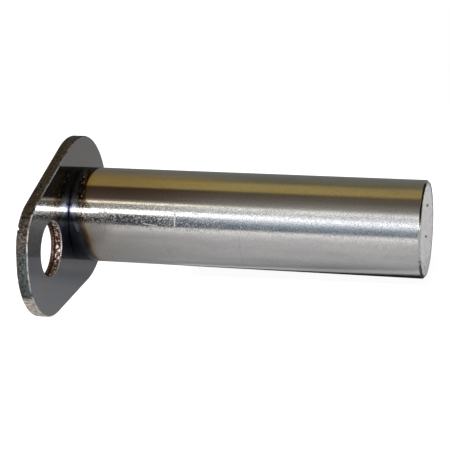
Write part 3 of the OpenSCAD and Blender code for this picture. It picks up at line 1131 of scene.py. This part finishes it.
def cut_edge(place, x, z, scale):
    edge = mix_colour(smooth_step(scale, *SCALE_EDGE), SCALE_DARK, SCALE_PALE)
    lower = smooth_step(z + cloud(place, LOWER_WAVES) * LOWER_WAVE, *LOWER_Z)
    inner = smooth_step(x, *INNER_X)
    teal = lower * (TEAL_FROM + inner * (1 - TEAL_FROM)) * patches(place, *TEAL_PATCHES)
    edge = mix_colour(teal * TEAL_SHARE, edge, TEAL)
    rust = patches(place, *RUST_PATCHES) * (1 - inner * RUST_INNER_LOSS) * (1 - lower * RUST_LOWER_LOSS)
    edge = mix_colour(rust * RUST_SHARE, edge, RUST)
    edge = mix_colour(patches(place, *GRAINS) * GRAINS_SHARE, edge, GRAINS_TONE)
    # Painted highlight: a paler patch low on the edge
    pale = smooth_step(z + cloud(place, LOW_HIGHLIGHT_WAVES, 3.0) * LOW_HIGHLIGHT_WAVE, *LOW_HIGHLIGHT_Z)
    return mix_colour(pale, edge, mix_colour(patches(place, *LOW_HIGHLIGHT_PATCHES), LOW_HIGHLIGHT_DARK, LOW_HIGHLIGHT_PALE))


def bore_wall(place, x, scale):
    wall = mix_colour(smooth_step(scale, *WALL_EDGE), WALL_DARK, WALL_PALE)
    wall = mix_colour(patches(place, *TORN_PATCHES) * smooth_step(x, *TORN_X), wall, TORN)
    crack = smooth_step(away_from(x, -CRACK_AT * plate_t / MM), *CRACK_EDGE)
    return mix_colour(crack * CRACK_SHARE, wall, CRACK)


print("plate colours ready")

# %% [markdown]
# Along the plate's front corner the burr is worn to a bright line, which is partly painted highlight: it is
# brighter low down and more matt higher up, and bright only where the outline turns to the front. The rim
# that faces away gets painted shade. An even line would look drawn on, so noise breaks it. The faces are
# smooth and the cut parts rough, again by the weights on the mesh.

# %% Flame-cut plate
SCALE_WAVES = 1.2
# Worn burr with painted highlight, which is stronger low down
WORN_PATCHES, WORN_HIGHLIGHT_TONE = (0.4, 3.0, 0.3, 0.62), (0.62, 0.6, 0.58)
WORN_HIGHLIGHT_SHARE, WORN_HIGHLIGHT_LOW, WORN_MATT = 0.85, 0.13, 0.5
BRIGHT_Z = (16.0, 6.0)
# Painted shade on the rim that faces away
FAR_RIM_SHADE_SHARE, FAR_RIM_SHADE = 0.85, (0.03, 0.028, 0.026)
FACE_ROUGH, CUT_ROUGH, SCALE_ROUGH = 0.07, 0.35, 0.2
SCALE_DEPTH, FACE_WAVES, FACE_HEIGHT = 0.1, 0.9, 0.006


def cut_plate():
    material, shader, place = new_finish("cut_plate")
    x, _, z = axes(place)
    cut, bore, burr, far_rim = (attribute(place, name) for name in ("cut", "bore", "burr", "far_rim"))
    scale = cloud(place, SCALE_WAVES, 4.0)
    colour = mix_colour(cut, plate_face(place), cut_edge(place, x, z, scale))
    colour = mix_colour(bore, colour, bore_wall(place, x, scale))
    # Worn burr, partly painted highlight, stronger low down
    worn_burr_highlight = burr * patches(place, *WORN_PATCHES)
    bright = smooth_step(z, *BRIGHT_Z)
    colour = mix_colour(worn_burr_highlight * (WORN_HIGHLIGHT_SHARE + bright * WORN_HIGHLIGHT_LOW), colour, WORN_HIGHLIGHT_TONE)
    # Painted shade on the rim that faces away
    colour = mix_colour(far_rim * FAR_RIM_SHADE_SHARE, colour, FAR_RIM_SHADE)
    rough_part = larger(cut, bore)
    plug(colour, shader, "Base Color")
    plug(1 - worn_burr_highlight * (1 - bright) * WORN_MATT, shader, "Metallic")
    plug(FACE_ROUGH + rough_part * (CUT_ROUGH + scale * SCALE_ROUGH), shader, "Roughness")
    height = scale * rough_part + cloud(place, FACE_WAVES, 3.0) * FACE_HEIGHT
    plug(bump(height, SCALE_DEPTH), shader, "Normal")
    return material


plate.data.materials.append(cut_plate())
print("plate finish made")

# %% [markdown]
# Weld metal freezes with a thin skin of oxide, grey-brown on the crests and bluish where it stayed hot
# longest. A flat grey would hide the ripples, so two sizes of noise change the colour and a fine bump
# roughens the skin.

# %% Weld metal
OXIDE_WAVES, OXIDE_EDGE = 0.5, (0.35, 0.7)
OXIDE_DARK, OXIDE_BROWN = (0.14, 0.13, 0.14), (0.36, 0.33, 0.3)
BLUE_PATCHES, BLUE_SHARE, BLUE = (0.12, 2.0, 0.45, 0.65), 0.5, (0.12, 0.14, 0.2)
WELD_ROUGH, WELD_ROUGH_OXIDE = 0.32, 0.25
WELD_GRIT, WELD_GRIT_DEPTH = 2.2, 0.03


def weld_metal():
    material, shader, place = new_finish("weld_metal")
    oxide = cloud(place, OXIDE_WAVES, 4.0)
    colour = mix_colour(smooth_step(oxide, *OXIDE_EDGE), OXIDE_DARK, OXIDE_BROWN)
    colour = mix_colour(patches(place, *BLUE_PATCHES) * BLUE_SHARE, colour, BLUE)
    plug(colour, shader, "Base Color")
    plug(WELD_ROUGH + oxide * WELD_ROUGH_OXIDE, shader, "Roughness")
    plug(bump(cloud(place, WELD_GRIT, 3.0), WELD_GRIT_DEPTH), shader, "Normal")
    return material


weld.data.materials.append(weld_metal())
print("weld finish made")
